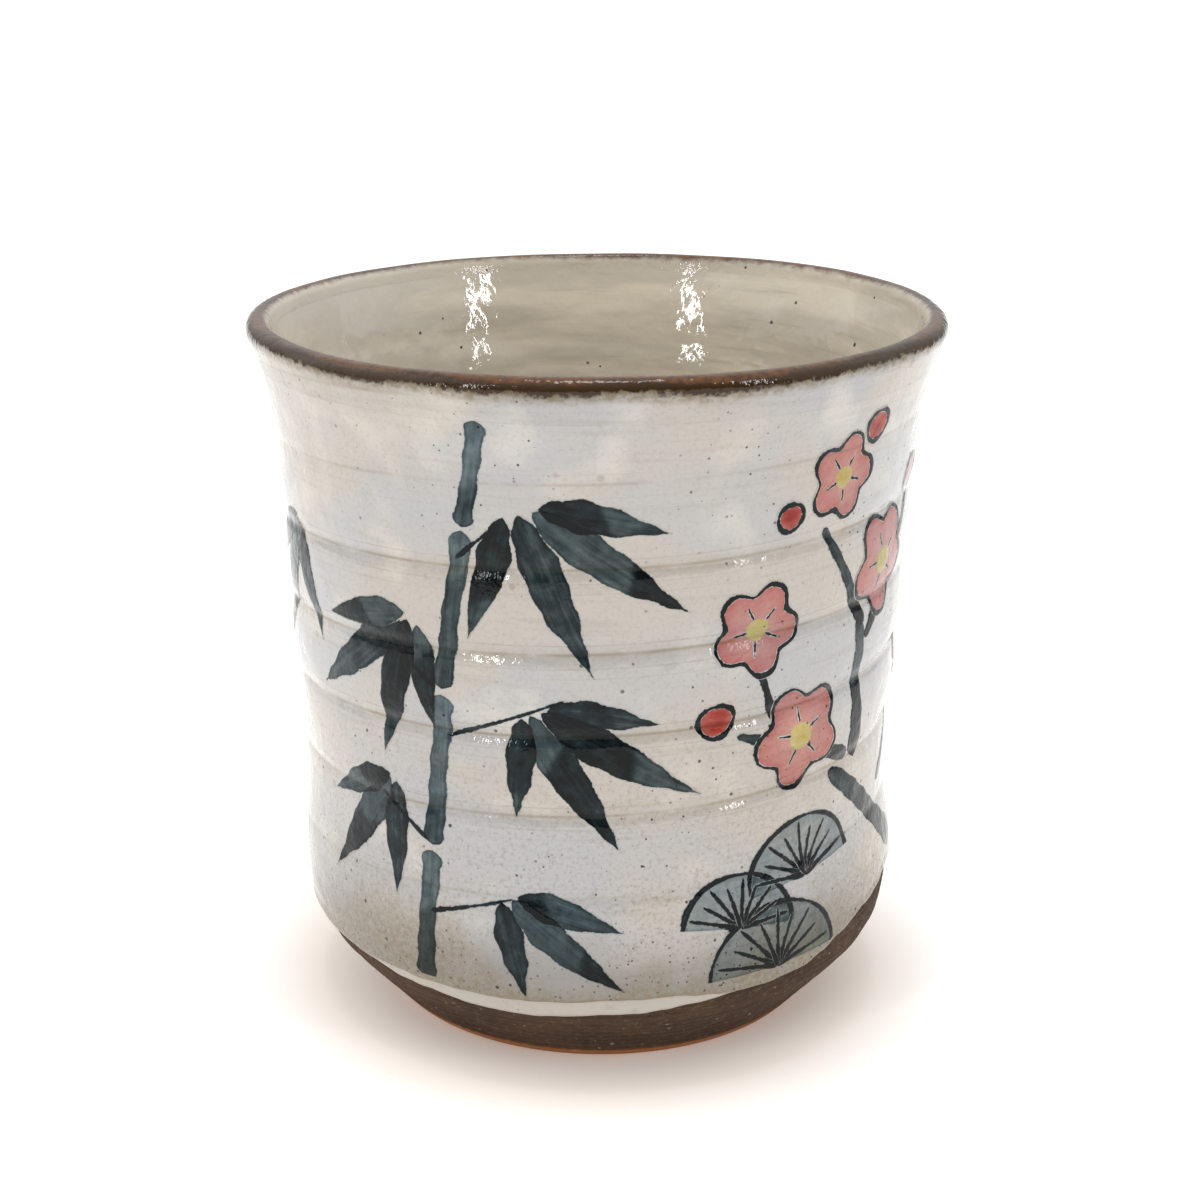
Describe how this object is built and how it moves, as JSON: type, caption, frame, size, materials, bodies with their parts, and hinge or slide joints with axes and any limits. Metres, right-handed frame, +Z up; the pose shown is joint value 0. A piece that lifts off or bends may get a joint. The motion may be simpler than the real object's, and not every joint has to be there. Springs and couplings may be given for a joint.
{
  "type": "yunomi tea cup",
  "caption": "Handleless thrown stoneware tea cup with flared iron-brown lip, finger-ringed white glaze, bamboo and plum brushwork, and a bare turned foot.",
  "frame": {"origin": "centre of the foot ring, on the plane that the cup stands on", "axes": "+Z up along the cup's axis; -Y is the side with the bamboo, +X the side with the plum branch"},
  "size_m": [0.084, 0.084, 0.086],
  "materials": {
    "bare_clay": "matt, fine turning lines",
    "white_slip": "satin",
    "milky_glaze": "gloss, speckled",
    "liner_glaze": "gloss",
    "iron_glaze": "gloss, mottled",
    "pale_indigo": "gloss",
    "dark_indigo": "gloss",
    "branch_indigo": "gloss",
    "pink_pigment": "gloss",
    "yellow_pigment": "gloss",
    "red_pigment": "gloss",
    "grey_wash": "gloss"
  },
  "bodies": {
    "root": {"clay_body": "bare_clay", "white_slip": "white_slip", "outer_glaze": "milky_glaze", "inner_glaze": "liner_glaze", "rim_iron_band": "iron_glaze", "bamboo_stalk": "pale_indigo", "bamboo_leaves": "dark_indigo", "plum_branch": "branch_indigo", "plum_petals": "pink_pigment", "plum_hearts": "yellow_pigment", "plum_buds": "red_pigment", "pine_wash": "grey_wash"}
  },
  "joints": []
}
